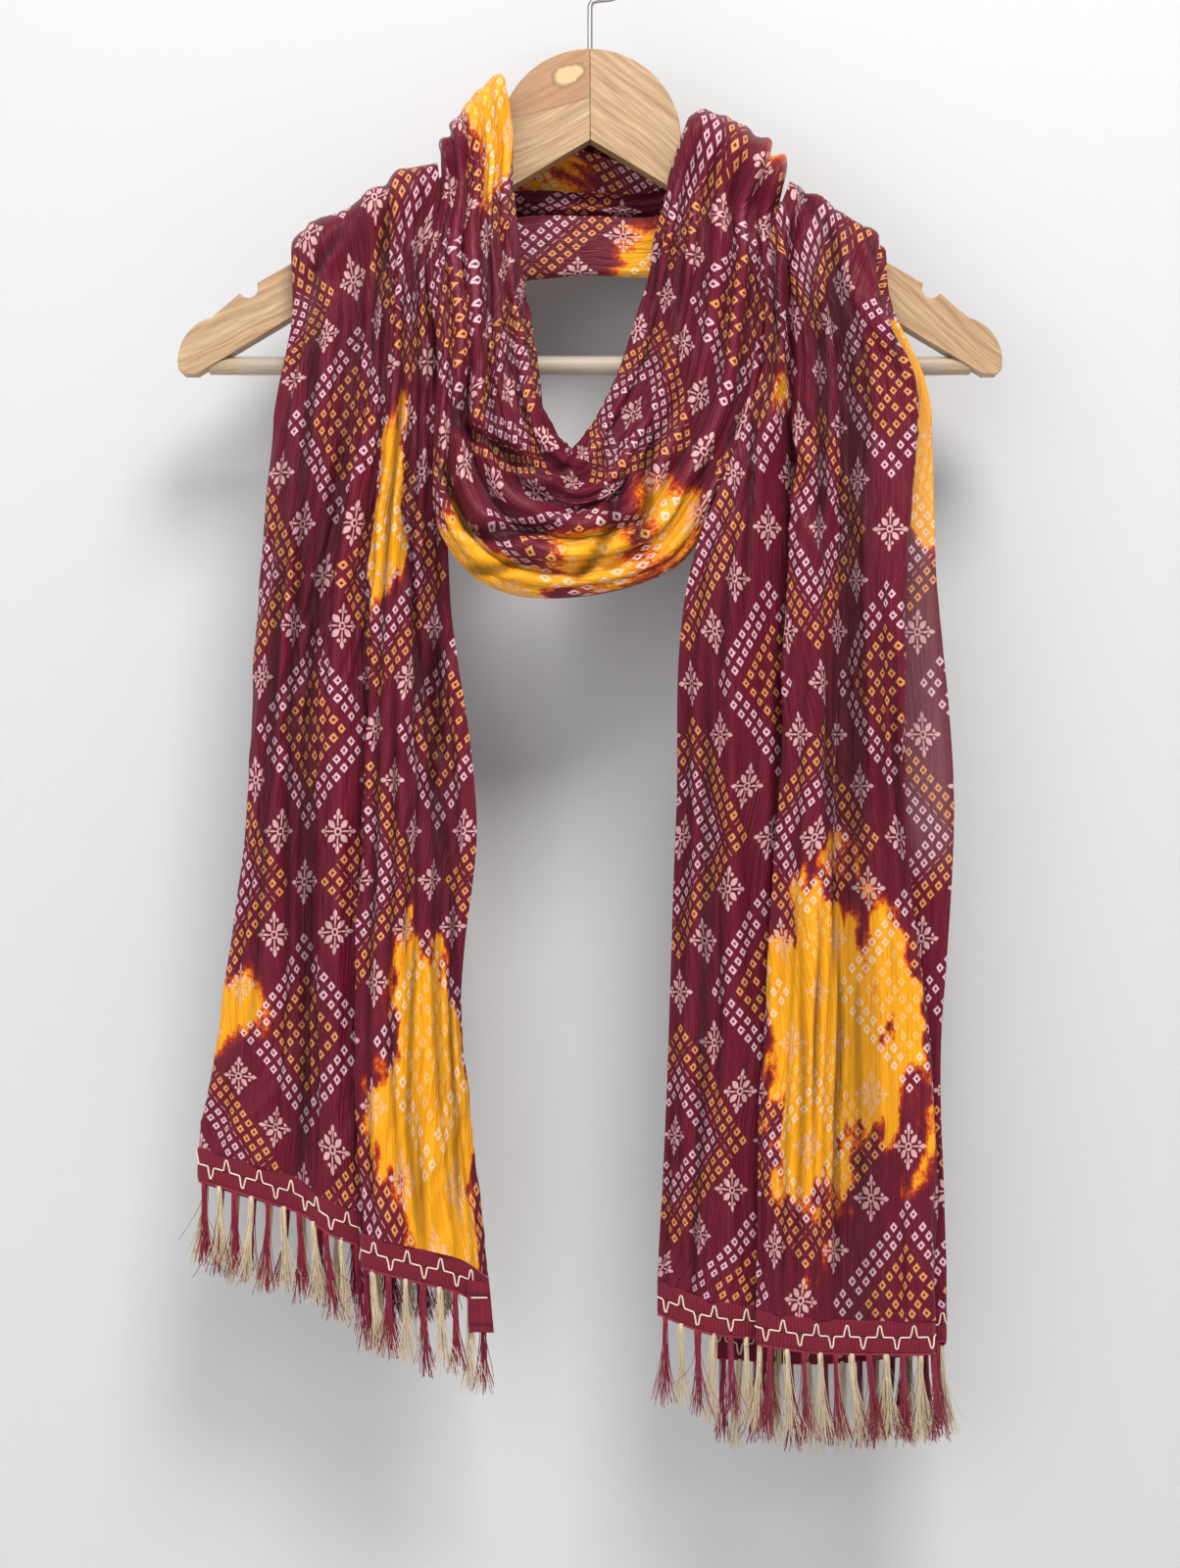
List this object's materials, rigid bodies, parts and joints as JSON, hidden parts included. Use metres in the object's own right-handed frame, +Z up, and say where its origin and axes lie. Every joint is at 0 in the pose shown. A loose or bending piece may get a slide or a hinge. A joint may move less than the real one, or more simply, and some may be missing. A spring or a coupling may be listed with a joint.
{
  "type": "dupatta stole on a wooden coat hanger",
  "caption": "Maroon crinkled silk bandhani stole with yellow patches and tasselled ends, wound once round a wooden coat hanger.",
  "frame": {"origin": "the point inside the hook's top where the hanger bears on a rail or wall hook", "axes": "+Z up, +X along the hanger to the viewer's right, -Y to the front"},
  "size_m": [0.444, 0.1056, 0.8239],
  "materials": {
    "silk": "crinkled satin",
    "tape": "ribbed",
    "tassel": "silky thread",
    "wood": "satin",
    "clear_plastic": "clear",
    "steel_wire": "satin"
  },
  "bodies": {
    "root": {"stole_left_tail": "silk", "stole_back_band_a": "silk", "stole_cowl": "silk", "stole_back_band_b": "silk", "stole_right_tail": "silk", "left_hem_tape": "tape", "right_hem_tape": "tape", "left_fringe": "tassel", "right_fringe": "tassel", "hanger_left": "wood", "hanger_right": "wood", "hanger_bar": "wood", "bar_sleeve": "clear_plastic", "hanger_hook": "steel_wire"}
  },
  "joints": []
}
